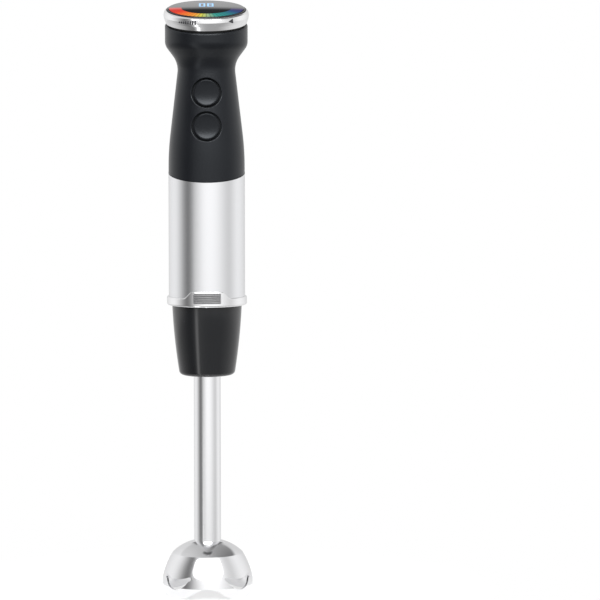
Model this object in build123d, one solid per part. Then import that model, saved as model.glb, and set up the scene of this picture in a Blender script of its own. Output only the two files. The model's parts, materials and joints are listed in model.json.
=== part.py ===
from build123d import *
import os
from math import atan, cos, degrees, pi, radians, sin, sqrt, tan

# Hand blender, standing on its bell. +Z runs up the drive shaft from the floor,
# -Y is the side with the two buttons. All sizes are in millimetres.

# Foot: bell, tube and collar
bell_radius = 33.0
bell_wall = 1.5
bell_shoulder_radius = 24.9
bell_side_height = 29.4
bell_dome_rise = 8.4
arch_height = 8.0
foot_pad_length = 3.4
slot_half_width = 10.6
slot_end_radius = 1.6
slot_height = 7.4
slot_level = 0.22
slot_smile = 2.1
crease_rounding = 0.5
hub_radius = 12.0
hub_length = 8.0
tube_radius = 9.5
tube_wall = 0.8
tube_exposed = 118.7
collar_top_radius = 24.6
collar_bottom_radius = 19.4
collar_height = 49.7
collar_wall = 2.0
collar_bulge = 0.75

# Coupling between foot and motor unit
socket_depth = 19.0
spigot_wall = 2.4
lug_count = 3
lug_height = 2.6
lug_width = 6.0
lug_depth = 1.2
twist_angle = 30.0
drive_shaft_radius = 3.0
coupler_radius = 8.4
coupler_tooth_count = 6

# Motor unit: trim ring, steel sleeve and handle
ring_step = 1.3
ring_height = 6.2
tab_rise = 4.8
tab_half_width = 11.4
sleeve_radius = 26.9
sleeve_wall = 0.6
sleeve_exposed = 87.1
handle_length = 103.6
handle_wall = 2.2
neck_corner_radius = 19.57
neck_below_top = 27.2
shoulder_below_top = 14.6
flare_start = 15.5
flare_blend = 12.0
top_radius = 29.0
tilt = 12.0

# Dial and display, measured along the tilted dial axis from the handle's top
dial_radius = 30.0
dial_height = 9.3
dial_gap = 1.3
lens_radius = 27.2
lens_proud = 0.7
lens_dome = 0.6

# Buttons
button_radius = 9.4
button_gap = 1.0
button_pitch = 23.5
button_below_top = 58.7
button_travel = 1.4
button_rounding = 0.6
lip_rounding = 0.45

# Motor
motor_shaft_radius = 2.5
stator_radius = 23.4
stator_bore = 19.2
stator_length = 26.0
armature_radius = 13.4
air_gap = 0.5
commutator_radius = 8.0
fan_radius = 19.4
fan_blade_count = 9

# Cord inlet
cord_bore_radius = 3.4
gland_below_top = 6.2

# Clearances
fit = 0.1
running = 0.05
seam = 0.3

# Levels up the axis
dome_top = bell_side_height + bell_dome_rise
collar_bottom = dome_top + tube_exposed
collar_top = collar_bottom + collar_height
ring_bottom = collar_top + fit
sleeve_bottom = ring_bottom + 0.8
seam_level = ring_bottom + ring_height + sleeve_exposed
top_level = seam_level + handle_length
socket_floor = collar_top - socket_depth

LOW = (Align.CENTER, Align.CENTER, Align.MIN)
cut_size = 2 * (handle_length + top_radius)
parts = {}


def disc(radius, low, high):
    """A cylinder about the main axis between two levels."""
    return Pos(0, 0, low) * Cylinder(radius, high - low, align=LOW)


def ring(outer, inner, low, high):
    """A tube about the main axis between two levels."""
    return disc(outer, low, high) - disc(inner, low - 1, high + 1)


def block(x_size, y_size, low, high):
    return Pos(0, 0, low) * Box(x_size, y_size, high - low, align=LOW)


def turned(*corners):
    """Turns a closed outline of (radius, level) or (radius, level, fillet) corners."""
    points = [(c[0], c[1]) for c in corners]
    radii = [c[2] if len(c) == 3 else 0 for c in corners]
    outline = FilletPolyline(*points, radius=radii, close=True)
    return revolve(Plane.XZ * make_face(outline), Axis.Z)


def around(count, piece, start=0.0):
    """Copies a piece evenly round the main axis."""
    return [Rot(0, 0, start + 360 * i / count) * piece for i in range(count)]


def joined(pieces):
    whole = pieces[0]
    for piece in pieces[1:]:
        whole += piece
    return whole


def sector(radius, half_angle, low, high):
    """A wedge of a cylinder, centred on +X."""
    reach = radius / cos(radians(half_angle))
    corner = (reach * cos(radians(half_angle)), reach * sin(radians(half_angle)))
    outline = Polyline((0, 0), corner, (corner[0], -corner[1]), close=True)
    return Pos(0, 0, low) * extrude(make_face(outline), high - low) & disc(radius, low, high)


def above_tilted(level):
    """Everything above the tilted plane that crosses the axis at a level."""
    return Pos(0, 0, level) * Rot(tilt, 0, 0) * Box(cut_size, cut_size, cut_size, align=LOW)


def below_tilted(level):
    """Everything below the same plane."""
    under = Pos(0, 0, -cut_size / 2) * Box(cut_size, cut_size, cut_size)
    return Pos(0, 0, level) * Rot(tilt, 0, 0) * under


# ---------------------------------------------------------------- bell and tube


def bell_form(inset):
    """The bell's outline turned solid, with its wall taken off by inset."""
    rim = bell_radius - inset
    shoulder = bell_shoulder_radius - 0.7 * inset
    crease = bell_side_height - 0.9 * inset
    top = dome_top - inset
    knee = 0.6 * bell_side_height - 0.35 * inset
    rim_top = 0.27 * bell_side_height
    dome_mid = (0.55 * shoulder + 0.45 * tube_radius, 0.5 * (crease + top) + 0.9)
    side_mid = (0.42 * shoulder + 0.58 * rim + 0.5, knee + 1.0)
    edge = [
        Line((0, top), (tube_radius, top)),
        ThreePointArc((tube_radius, top), dome_mid, (shoulder, crease)),
        ThreePointArc((shoulder, crease), side_mid, (rim, rim_top)),
        Line((rim, rim_top), (rim - 0.5, -5)),
        Line((rim - 0.5, -5), (0, -5)),
        Line((0, -5), (0, top)),
    ]
    return revolve(Plane.XZ * make_face(edge), Axis.Z)


def bell_slot():
    """The smile-shaped slot above one lobe, cut outwards along +X."""
    low = slot_level * bell_side_height
    high = low + slot_height
    end_high = high + slot_smile
    end_low = end_high - 2 * slot_end_radius + 0.2
    w = slot_half_width
    tip = w + slot_end_radius
    edge = [
        ThreePointArc((-w, end_low), (0, low), (w, end_low)),
        ThreePointArc((w, end_low), (tip, (end_low + end_high) / 2), (w, end_high)),
        ThreePointArc((w, end_high), (0, high), (-w, end_high)),
        ThreePointArc((-w, end_high), (-tip, (end_low + end_high) / 2), (-w, end_low)),
    ]
    face = Plane.YZ * make_face(edge)
    return Pos(bell_shoulder_radius - 2, 0, 0) * extrude(face, 14)


def bell_arch():
    """The wave cut across the rim, front to back: a crown and two equal curves down to the lobes."""
    half = (bell_radius - 0.5 * bell_wall) * sin(radians(45)) - foot_pad_length / 2 * cos(radians(45))
    bend = (half**2 + arch_height**2) / (4 * arch_height)
    reach = half + 20
    edge = [
        RadiusArc((-half, 0), (-half / 2, arch_height / 2), -bend),
        RadiusArc((-half / 2, arch_height / 2), (half / 2, arch_height / 2), bend),
        RadiusArc((half / 2, arch_height / 2), (half, 0), -bend),
        Polyline((half, 0), (reach, 0), (reach, -20), (-reach, -20), (-reach, 0), (-half, 0)),
    ]
    return extrude(Plane.XZ * make_face(edge), 2 * bell_radius, both=True)


def make_bell():
    shell = bell_form(0) - bell_form(bell_wall)
    hub = disc(hub_radius, dome_top - bell_wall - hub_length, dome_top - 0.2)
    shell = shell + (hub & bell_form(0.1))
    shell -= disc(tube_radius - tube_wall, 0, dome_top + 5)
    shell -= bell_arch()
    shell -= Rot(0, 0, 90) * bell_arch()
    for slot in around(4, bell_slot(), 45):
        shell -= slot
    crease = shell.edges().filter_by(GeomType.CIRCLE).filter_by(
        lambda e: abs(e.center().Z - bell_side_height) < 0.05 and e.radius > bell_shoulder_radius - 0.2
    )
    return fillet(crease, crease_rounding)


def make_tube():
    return ring(tube_radius, tube_radius - tube_wall, dome_top, socket_floor - fit)


hub_bottom = dome_top - bell_wall - hub_length
housing_top = dome_top + 13
bore = tube_radius - tube_wall
shaft_bore = drive_shaft_radius + running
bush_radius = drive_shaft_radius + 3.0
seal_radius = bush_radius + 0.6
seal_height = 3.0
retainer_height = 2.2
clip_bottom = housing_top + 0.9
clip_top = clip_bottom + 1.0
groove_depth = 0.4


def make_bearing_housing():
    """The plug in the bell's hub that carries the lower bush and the lip seal."""
    plug = ring(bore, bush_radius, hub_bottom, housing_top)
    return plug - disc(seal_radius, hub_bottom - 1, hub_bottom + seal_height)


def make_lower_bush():
    return ring(bush_radius, shaft_bore, hub_bottom + seal_height + fit, housing_top)


def make_tube_bushes():
    """Two plastic bushes that centre the drive shaft in the tube."""
    levels = ((dome_top + socket_floor) / 2, socket_floor - 7 - fit)
    return [
        ring(bore - fit, shaft_bore, level - 4, level + 4) + ring(5, shaft_bore, level - 7, level + 7)
        for level in levels
    ]


def make_lip_seal():
    body = ring(seal_radius, shaft_bore + 1.2, hub_bottom, hub_bottom + seal_height)
    lip = ring(shaft_bore + 1.3, shaft_bore, hub_bottom, hub_bottom + 0.9)
    return body + lip


def make_seal_retainer():
    """The cap that holds the lip seal in its seat."""
    low = hub_bottom - retainer_height
    return turned(
        (shaft_bore + 1.0, low),
        (hub_radius - 0.6, low, 1.2),
        (hub_radius - 0.6, hub_bottom),
        (shaft_bore + 1.0, hub_bottom),
    )


# ---------------------------------------------------------------- foot collar


def collar_form(inset, low, high):
    """The collar's tapering outside, taken in by inset, between two levels."""
    bottom_r = collar_bottom_radius - inset
    top_r = collar_top_radius - inset
    middle = ((bottom_r + top_r) / 2 + collar_bulge, (low + high) / 2)
    edge = [
        Line((0, low), (bottom_r, low)),
        ThreePointArc((bottom_r, low), middle, (top_r, high)),
        Line((top_r, high), (0, high)),
        Line((0, high), (0, low)),
    ]
    return revolve(Plane.XZ * make_face(edge), Axis.Z)


def make_foot_collar():
    outside = collar_form(0, collar_bottom, collar_top)
    rim = outside.edges().filter_by(GeomType.CIRCLE)
    outside = fillet(rim.sort_by(Axis.Z)[:1], 3.2)
    outside = fillet(outside.edges().filter_by(GeomType.CIRCLE).sort_by(Axis.Z)[-1:], 0.6)
    hollow = collar_form(collar_wall, collar_bottom + collar_wall, collar_top + 0.1)
    return outside - hollow - disc(tube_radius + fit, collar_bottom - 1, collar_top)


insert_radius = collar_top_radius - collar_wall - 1.6
spigot_radius = insert_radius - 2.0
lug_reach = spigot_radius + lug_depth
ledge = 3.6
lug_top = collar_top - ledge - fit


def make_collar_insert():
    """The socket in the collar: a cup with three L-shaped bayonet slots and a grip on the tube."""
    cup = ring(insert_radius, spigot_radius + fit, socket_floor - 2.4, collar_top)
    floor = ring(insert_radius, bore + 0.5, socket_floor - 2.4, socket_floor)
    grip_bottom = collar_bottom + collar_wall + fit
    grip = ring(tube_radius + 2.2, tube_radius + fit / 2, grip_bottom, socket_floor - 2.4)
    socket = joined([cup, floor, grip])
    socket -= disc(tube_radius + fit / 2, collar_bottom, socket_floor - fit)
    wide = degrees(lug_width / 2 / spigot_radius) + 1
    tall = (lug_top - lug_height - fit, lug_top + fit)
    groove_radius = lug_reach + fit
    for i in range(lug_count):
        turn = 360 / lug_count * i
        entry = sector(groove_radius, wide, tall[0], collar_top + 1)
        run = sector(groove_radius, wide + twist_angle / 2, *tall)
        socket -= Rot(0, 0, turn + twist_angle) * entry
        socket -= Rot(0, 0, turn + twist_angle / 2) * run
    return socket


def make_coupling_seal():
    """The rubber ring that closes the gap between the collar and the motor unit."""
    inner = insert_radius + fit
    outer = collar_top_radius - collar_wall - 0.5
    return ring(outer, inner, collar_top - 3.2, collar_top)


# ---------------------------------------------------------------- drive shaft


blade_level = 13.2
blade_thickness = 1.2
blade_reach = 24.5
blade_width = 9.0
bend_start = 9.0
bend_rise = 5.2
blade_hub_radius = 6.0
nut_height = 4.0
cup_bottom = socket_floor + 1.0
cup_top = cup_bottom + 12.0


def star(tip, root, low, high):
    """A splined plug whose teeth stand from root to tip."""
    tooth = Pos((root + tip) / 2 - 0.6, 0, low) * Box(tip - root + 1.2, 2.4, high - low, align=LOW)
    return joined([disc(root, low, high)] + around(coupler_tooth_count, tooth))


def make_drive_shaft():
    shaft = disc(drive_shaft_radius, blade_level - nut_height - 0.4, cup_top - 5.4)
    return shaft - ring(drive_shaft_radius + 1, drive_shaft_radius - groove_depth, clip_bottom, clip_top)


def make_retaining_clip():
    """The spring clip in the shaft's groove, open on one side."""
    clip = ring(drive_shaft_radius + 2, drive_shaft_radius - groove_depth, clip_bottom, clip_top)
    return clip - Pos(4, 0, 0) * block(8, 2.4, clip_bottom - 1, clip_top + 1)


def make_thrust_washer():
    return ring(bush_radius - 0.4, drive_shaft_radius, housing_top + running, clip_bottom)


def make_foot_coupler():
    """The cup that takes the motor's splined plug."""
    body = turned(
        (drive_shaft_radius, cup_bottom),
        (coupler_radius, cup_bottom, 0.8),
        (coupler_radius, cup_top, 1.0),
        (drive_shaft_radius, cup_top),
    )
    return body - star(5.6, 4.3, cup_top - 5.2, cup_top + 1)


def wing(rise):
    """One blade wing along +X, bent up or down past its root."""
    t = blade_thickness
    under = [(0, 0), (bend_start, 0), (blade_reach, rise)]
    over = [(blade_reach, rise + t), (bend_start, t), (0, t)]
    side = Polyline(*under, *over, close=True)
    plate = extrude(Plane.XZ * make_face(side), blade_width, both=True)
    edge_end = (blade_reach - 5, -blade_width / 2 + 0.6)
    plan = [
        Line((0, -blade_width / 2), edge_end),
        ThreePointArc(edge_end, (blade_reach - 1.2, -1.6), (blade_reach, 2.2)),
        Line((blade_reach, 2.2), (0, blade_width / 2)),
        Line((0, blade_width / 2), (0, -blade_width / 2)),
    ]
    return plate & Pos(0, 0, -20) * extrude(make_face(plan), 40)


def make_blade():
    """Four wings: one pair bent down, one pair bent up."""
    low = [Rot(0, 0, a) * wing(-bend_rise) for a in (90, 270)]
    high = [Rot(0, 0, a) * wing(bend_rise) for a in (0, 180)]
    blade = joined(low + high) + disc(blade_hub_radius, 0, blade_thickness)
    return Pos(0, 0, blade_level) * (blade - disc(drive_shaft_radius, -5, 5))


def make_blade_hub():
    """The collar pressed on the shaft above the blade."""
    top = hub_bottom - retainer_height - 0.6
    return turned(
        (drive_shaft_radius, blade_level + blade_thickness),
        (blade_hub_radius, blade_level + blade_thickness),
        (blade_hub_radius - 0.8, top, 0.5),
        (drive_shaft_radius, top),
    )


def make_blade_nut():
    low = blade_level - nut_height
    nut = Pos(0, 0, low) * extrude(RegularPolygon(5.4, 6), nut_height)
    dome = turned((0, low - 0.4), (3.6, low - 0.4), (7, blade_level + 2), (0, blade_level + 2))
    return (nut & dome) - disc(drive_shaft_radius, 0, blade_level + 1)


# ---------------------------------------------------------------- motor unit base


ring_radius = sleeve_radius + ring_step
plate_radius = sleeve_radius - sleeve_wall - fit
plate_top = ring_bottom + 3.2
frame_radius = plate_radius
frame_wall = 1.8
frame_bore = frame_radius - frame_wall
screw_circle = frame_bore - 1.4
screw_radius = 1.2
lip_radius = max(collar_top_radius, screw_circle + screw_radius)


def make_trim_ring():
    band = turned(
        (lip_radius + 0.3, ring_bottom),
        (ring_radius, ring_bottom, 1.3),
        (ring_radius, ring_bottom + ring_height, 1.1),
        (sleeve_radius + running, ring_bottom + ring_height),
        (sleeve_radius + running, sleeve_bottom),
        (lip_radius + 0.3, sleeve_bottom),
    )
    low = ring_bottom + ring_height
    high = low + tab_rise
    top, foot = tab_half_width, tab_half_width + 4.2
    corners = [(foot, low), (top, high), (-top, high), (-foot, low)]
    skirt = [(-foot - 3.4, low), (-foot - 3.4, low - 3), (foot + 3.4, low - 3), (foot + 3.4, low)]
    sketch = FilletPolyline(*corners, *skirt, radius=[3.4, 2.6, 2.6, 3.4, 0, 0, 0, 0], close=True)
    tab = Plane.XZ * extrude(make_face(sketch), 40)
    shell = ring(ring_radius, sleeve_radius + running, low - 3, high + 1)
    tab = tab & shell
    edge = [e for e in tab.edges() if is_tab_rim(e, low)]
    return band + fillet(edge, 0.7)


def is_tab_rim(edge, low):
    """True for the outer edges of the tab above the band."""
    middle = edge.position_at(0.5)
    outside = abs(sqrt(middle.X**2 + middle.Y**2) - ring_radius) < 0.01
    return outside and middle.Z > low + 0.01


def make_sleeve():
    tube = ring(sleeve_radius, sleeve_radius - sleeve_wall, sleeve_bottom, top_level)
    return tube - above_tilted(seam_level - seam / 2)


def make_drive_socket():
    """The motor unit's base plate, with the bayonet spigot that enters the foot."""
    plate = disc(plate_radius, sleeve_bottom, plate_top)
    plate += disc(lip_radius, ring_bottom, plate_top)
    spigot = ring(spigot_radius, spigot_radius - spigot_wall, socket_floor + 1.0, ring_bottom)
    lug = sector(lug_reach, degrees(lug_width / 2 / spigot_radius), lug_top - lug_height, lug_top)
    lug -= disc(spigot_radius - 1, 0, top_level)
    body = joined([plate, spigot] + around(lug_count, lug))
    body -= disc(coupler_radius + 1.4, 0, top_level)
    seat = ring(coupler_radius + 2, 7.2, plate_top - 1.2, plate_top + 1.0)
    body += seat
    for hole in around(4, Pos(screw_circle, 0, 0) * disc(screw_radius + fit, ring_bottom - 1, plate_top + 1), 45):
        body -= hole
    return body


def make_base_screws():
    """Four screws that come up through the base plate into the frame."""
    shank = disc(screw_radius, ring_bottom + 0.6, plate_top + 8)
    return around(4, Pos(screw_circle, 0, 0) * shank, 45)


def make_motor_frame():
    """The plastic tube inside the sleeve, stepped in at its top to enter the handle."""
    step = seam_level - sleeve_radius * tan(radians(tilt)) - 2.5
    neck_radius = sleeve_radius - handle_wall - 0.5
    body = ring(frame_radius, frame_bore, plate_top, step)
    body += ring(neck_radius, neck_radius - frame_wall, step - 1.5, seam_level + 11)
    body += ring(frame_radius, neck_radius - frame_wall, step - 1.5, step)
    boss = Pos(screw_circle, 0, 0) * disc(2.6, plate_top, plate_top + 9)
    for post in around(4, boss, 45):
        body += post & disc(frame_radius, plate_top, step)
    for post in around(4, Pos(screw_circle, 0, 0) * disc(screw_radius, plate_top - 1, plate_top + 8), 45):
        body -= post
    return body


# ---------------------------------------------------------------- motor


fan_bottom = plate_top + 10.5
fan_top = fan_bottom + 6.5
stator_bottom = fan_top + 10.0
stator_top = stator_bottom + stator_length
turns_length = 7.0
commutator_bottom = stator_top + turns_length + 1.5
commutator_top = commutator_bottom + 10.0
bracket_bottom = commutator_top + 2.5
bracket_top = bracket_bottom + 4.0
lower_bracket_bottom = plate_top + 5.0
lower_bracket_top = lower_bracket_bottom + 3.5
brush_level = (commutator_bottom + commutator_top) / 2
mount_radius = frame_bore - fit
bearing_radius = 7.0
brush_length = 7.4
holder_end = 20.5
tie_circle = (stator_radius + stator_bore) / 2
tie_radius = 1.1
spring_wire = 0.22


def bracket(low, high):
    """A spider plate with a bearing seat in the middle and open windows round it."""
    plate = disc(mount_radius - 1.6, low, high) - disc(bearing_radius, low - 1, high + 1)
    window = Pos(14.6, 0, low - 1) * Box(8.5, 11, high - low + 2, align=LOW)
    for opening in around(4, window):
        plate -= opening
    return plate


def make_lower_bracket():
    plate = bracket(lower_bracket_bottom, lower_bracket_top)
    for post in around(4, Pos(screw_circle, 0, 0) * disc(2.9, plate_top, lower_bracket_top + 1), 45):
        plate -= post
    return plate - bolt_shank(tie_radius + fit)


def make_upper_bracket():
    return bracket(bracket_bottom, bracket_top) - bolt_shank(tie_radius + fit)


def make_lower_bearing():
    """A shielded ball bearing: inner ring, outer ring and the balls between them."""
    low, high = lower_bracket_bottom, lower_bracket_top
    inner = ring(4.0, motor_shaft_radius + 0.02, low, high)
    outer = ring(bearing_radius, 5.6, low, high)
    middle = (low + high) / 2
    balls = around(7, Pos(4.8, 0, middle) * Sphere(0.75))
    return [inner, outer] + balls


def make_upper_bearing():
    """A sintered bush with a rounded back."""
    return turned(
        (motor_shaft_radius + 0.02, bracket_bottom),
        (bearing_radius, bracket_bottom, 1.2),
        (bearing_radius, bracket_top, 1.2),
        (motor_shaft_radius + 0.02, bracket_top),
    )


def make_rubber_mounts():
    """Two rubber rings that hold the brackets in the frame."""
    return [
        ring(mount_radius, mount_radius - 1.6, low, high) - boss_space()
        for low, high in ((lower_bracket_bottom, lower_bracket_top), (bracket_bottom, bracket_top))
    ]


def boss_space():
    return joined(around(4, Pos(screw_circle, 0, 0) * disc(2.9, plate_top, plate_top + 9.5), 45))


def make_stator_core():
    """Two-pole lamination stack."""
    yoke = ring(stator_radius, stator_bore, stator_bottom, stator_top)
    bore_radius = armature_radius + air_gap
    shoe = sector(16.0, 52, stator_bottom, stator_top) - disc(bore_radius, 0, top_level)
    neck = Pos(17.5, 0, stator_bottom) * Box(5, 13, stator_length, align=LOW)
    neck -= disc(15.0, 0, top_level)
    core = joined([yoke] + around(2, shoe) + around(2, neck))
    return core - bolt_shank(tie_radius + fit)


def make_field_coils():
    low, high = stator_bottom - turns_length, stator_top + turns_length
    coil = sector(19.0, 38, low, high) - disc(16.2, 0, top_level)
    coil -= Pos(17.5, 0, stator_bottom - 0.3) * Box(8, 13.4, stator_length + 0.6, align=LOW)
    return around(2, coil)


def bolt_shank(radius):
    """The two bolts' straight shanks at a radius, or the space they need."""
    shank = Pos(0, tie_circle, 0) * disc(radius, lower_bracket_bottom - 1.5, bracket_top + 1)
    return joined(around(2, shank))


def make_tie_bolts():
    """Two long bolts that clamp the stator between the brackets, with low heads."""
    head = Pos(0, tie_circle, 0) * disc(tie_radius + 0.25, bracket_top, bracket_top + 1.6)
    return [bolt for bolt in (bolt_shank(tie_radius) + joined(around(2, head))).solids()]


def make_motor_shaft():
    return disc(motor_shaft_radius, cup_top + 0.6, bracket_top + 2)


def make_armature_core():
    core = ring(armature_radius, motor_shaft_radius, stator_bottom, stator_top)
    slot = Pos(10.4, 0, stator_bottom - 1) * Box(5.4, 2.4, stator_length + 2, align=LOW)
    mouth = Pos(13.0, 0, stator_bottom - 1) * Box(3, 1.0, stator_length + 2, align=LOW)
    for cut in around(12, slot + mouth):
        core -= cut
    return core


def make_armature_winding():
    """Copper turns standing out at both ends of the core."""
    def turns(low, high):
        inner = motor_shaft_radius + 1
        return turned((inner, low), (12.2, low, 2.0), (12.2, high, 2.0), (inner, high))

    length = turns_length - 0.5
    return [turns(stator_bottom - length, stator_bottom), turns(stator_top, stator_top + length)]


def make_commutator():
    body = ring(commutator_radius, motor_shaft_radius, commutator_bottom, commutator_top)
    groove = Pos(commutator_radius, 0, commutator_bottom + 1) * Box(1.4, 0.4, 20, align=LOW)
    for cut in around(24, groove):
        body -= cut
    return body


def make_fan():
    hub = ring(6.0, motor_shaft_radius, fan_bottom, fan_top)
    plate = ring(fan_radius, 5.0, fan_bottom, fan_bottom + 1.2)
    curve = [
        RadiusArc((5, 0), (fan_radius - 0.5, 5), 22),
        Line((fan_radius - 0.5, 5), (fan_radius - 0.5, 6.2)),
        RadiusArc((fan_radius - 0.5, 6.2), (5, 1.2), -22),
        Line((5, 1.2), (5, 0)),
    ]
    vane = Pos(0, 0, fan_bottom) * extrude(make_face(curve), fan_top - fan_bottom)
    vane &= disc(fan_radius, fan_bottom, fan_top)
    return joined([hub, plate] + around(fan_blade_count, vane))


def make_motor_coupler():
    """The splined plug on the motor shaft, with a flinger disc above it."""
    plug = star(5.3, 4.0, cup_top - 4.8, cup_top + 1)
    neck = disc(5.6, cup_top + 0.6, plate_top + 0.6)
    flinger = disc(6.6, plate_top - 1.0, plate_top + 0.4)
    shaft_hole = disc(motor_shaft_radius, cup_top + 0.6, top_level)
    return plug + neck + flinger - shaft_hole


def make_brush_holders():
    """Two brass boxes that guide the brushes, on arms down from the upper bracket."""
    box = Pos(15.0, 0, brush_level) * Box(11, 7.0, 8.0)
    box -= Pos(15.0, 0, brush_level) * Box(20, 5.2, 6.2)
    arm = Pos(17.5, 0, brush_level + 4) * Box(5, 5, bracket_bottom - brush_level - 4, align=LOW)
    cap = Pos(holder_end - 0.3, 0, brush_level) * Box(0.6, 5.2, 6.2)
    return around(2, box + arm + cap)


def make_carbon_brushes():
    brush = Pos(commutator_radius + running, 0, brush_level)
    carbon = Box(brush_length, 5.0, 6.0, align=(Align.MIN, Align.CENTER, Align.CENTER))
    return around(2, brush * carbon)


def make_brush_springs():
    start = commutator_radius + running + brush_length
    gap = holder_end - 0.6 - start
    coil = Helix(pitch=1.1, height=gap - 0.5, radius=1.9)
    wire = sweep(Plane(coil @ 0, z_dir=coil % 0) * Circle(spring_wire), path=coil, is_frenet=True)
    spring = Pos(start + 0.25, 0, brush_level) * Rot(0, 90, 0) * wire
    return around(2, spring)


# ---------------------------------------------------------------- handle


neck_level = top_level - neck_below_top
flare_level = seam_level + flare_start
flare_slope = (sleeve_radius - neck_corner_radius) / (neck_level - flare_level)
lean = degrees(atan(flare_slope))


def flare_radius(level):
    """The handle's outside radius on its straight flare."""
    return sleeve_radius - flare_slope * (level - flare_level)


def handle_form(inset):
    """The handle's outline turned solid, taken in by inset, longer than needed at both ends."""
    outside = sleeve_radius - 0.1 - inset
    return turned(
        (0, seam_level - 14),
        (outside, seam_level - 14),
        (outside, flare_level, flare_blend / tan(radians(lean / 2))),
        (neck_corner_radius - inset, neck_level, 16),
        (top_radius - inset, top_level - shoulder_below_top, 8.5),
        (top_radius - inset, top_level + 14),
        (0, top_level + 14),
    )


def handle_shell():
    outside = handle_form(0) - above_tilted(top_level)
    outside -= below_tilted(seam_level + seam / 2)
    top = outside.faces().sort_by(Axis.Z)[-1]
    outside = fillet(top.outer_wire().edges(), 1.2)
    return outside - handle_form(handle_wall)


button_level = top_level - button_below_top
button_plane = Plane(
    origin=(0, -flare_radius(button_level), button_level),
    x_dir=(1, 0, 0),
    z_dir=(0, -cos(radians(lean)), sin(radians(lean))),
)
hole_radius = button_radius + button_gap
flange_radius = hole_radius + 0.8
upper_button_radius = flare_radius(button_level + button_pitch / 2)
inner_radius = upper_button_radius - handle_wall
flange_top = sqrt(inner_radius**2 - flange_radius**2) - upper_button_radius - 0.5
flange_bottom = flange_top - 1.0
guide_top = flange_bottom - button_travel - 1.8
guide_bottom = guide_top - 1.0
stem_end = guide_bottom - 0.9
board_front = stem_end - button_travel - 4.4
board_back = board_front - 1.6
stem_radius = 2.2
button_spots = {"speed": button_pitch / 2, "turbo": -button_pitch / 2}


def on_front(y, z=0.0, x=0.0):
    """A place on the button plane: y up the handle, z outwards."""
    return button_plane * Pos(x, y, z)


def make_handle_halves():
    """The handle's front half, with the button holes, and its rear half, with the cord's hole."""
    shell = handle_shell()
    for y in button_spots.values():
        shell -= on_front(y) * Cylinder(hole_radius, 16)
    for y in button_spots.values():
        lip = [edge for edge in shell.edges() if is_outer_edge(edge, y, hole_radius)]
        shell = fillet(lip, lip_rounding)
    shell -= Pos(0, top_radius, gland_level) * Rot(90, 0, 0) * Cylinder(gland_radius + fit / 2, 20)
    side = block(cut_size, cut_size, 0, top_level + top_radius)
    return shell & Pos(0, -cut_size / 2, 0) * side, shell & Pos(0, cut_size / 2, 0) * side


def is_outer_edge(edge, y, radius):
    """True for an edge that runs round one button's axis at a radius, on the handle's outside."""
    for share in (0.2, 0.5, 0.8):
        point = edge.position_at(share)
        spot = button_plane.to_local_coords(point)
        off_circle = abs(sqrt(spot.X**2 + (spot.Y - y) ** 2) - radius) > 0.05
        if off_circle or sqrt(point.X**2 + point.Y**2) < flare_radius(point.Z) - 0.5 * handle_wall:
            return False
    return True


def make_button(y):
    """A cap that follows the handle's surface, with a flange to keep it in and a guided stem."""
    cap = on_front(y) * Cylinder(button_radius, 40) & handle_form(-0.1)
    cap &= on_front(y, flange_top) * Cylinder(button_radius + 1, 30, align=LOW)
    rim = [edge for edge in cap.edges() if is_outer_edge(edge, y, button_radius)]
    cap = fillet(rim, button_rounding)
    flange = on_front(y, flange_bottom) * Cylinder(flange_radius, flange_top - flange_bottom, align=LOW)
    stem = on_front(y, stem_end) * Cylinder(stem_radius, flange_bottom - stem_end, align=LOW)
    return cap + flange + stem


def make_button_spring(y):
    length = flange_bottom - guide_top - 0.5
    coil = Helix(pitch=length / 3.5, height=length, radius=stem_radius + 1.0)
    wire = sweep(Plane(coil @ 0, z_dir=coil % 0) * Circle(spring_wire), path=coil, is_frenet=True)
    return on_front(y, guide_top + 0.25) * wire


def make_button_guide():
    """The plate whose holes guide both stems and back both springs."""
    plate = on_front(0, guide_bottom) * Box(24, 46, guide_top - guide_bottom, align=LOW)
    for y in button_spots.values():
        plate -= on_front(y, guide_bottom) * Cylinder(stem_radius + 0.15, 10)
    length = guide_bottom - board_front
    for x in (-10.5, 10.5):
        for y in (-20, 20):
            plate += on_front(y, board_front, x) * Cylinder(1.4, length, align=LOW)
    return plate


def make_control_board():
    return on_front(0, board_back) * Box(24, 56, board_front - board_back, align=LOW)


def make_tact_switches():
    """The two push switches behind the stems, each with its plunger."""
    switches = []
    for y in button_spots.values():
        body = on_front(y, board_front) * Box(6, 6, 3.0, align=LOW)
        plunger = on_front(y, board_front + 3.0) * Cylinder(1.6, 1.2, align=LOW)
        switches.append(body + plunger)
    return switches


def make_heat_sink():
    """The finned aluminium plate that cools the power switch, behind the board."""
    sink = on_front(4, board_back - 1.5) * Box(20, 30, 1.5, align=LOW)
    for i in range(5):
        sink += on_front(4, board_back - 6.5, -8 + 4 * i) * Box(1.2, 30, 5.0, align=LOW)
    return sink


def make_capacitor():
    return on_front(-19, board_back - 9) * Box(14, 13, 9, align=LOW)


gland_level = top_level - gland_below_top
gland_radius = 5.2


def make_cord_gland():
    """The rubber bush in the back of the handle that the supply cord passes through."""
    outer = top_radius + 2.4
    inner = top_radius - handle_wall - 2.6
    gland = turned(
        (cord_bore_radius, inner),
        (gland_radius, inner),
        (gland_radius, top_radius - 0.9),
        (gland_radius + 1.8, top_radius - 0.9),
        (gland_radius + 1.8, top_radius + 0.9, 0.6),
        (gland_radius, outer, 0.8),
        (cord_bore_radius, outer),
    )
    bush = Pos(0, 0, gland_level) * Rot(-90, 0, 0) * gland
    body = handle_form(0) - handle_form(handle_wall)
    body -= Pos(0, top_radius, gland_level) * Rot(90, 0, 0) * Cylinder(gland_radius + fit / 2, 20)
    return bush - body


# ---------------------------------------------------------------- dial and display


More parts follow.
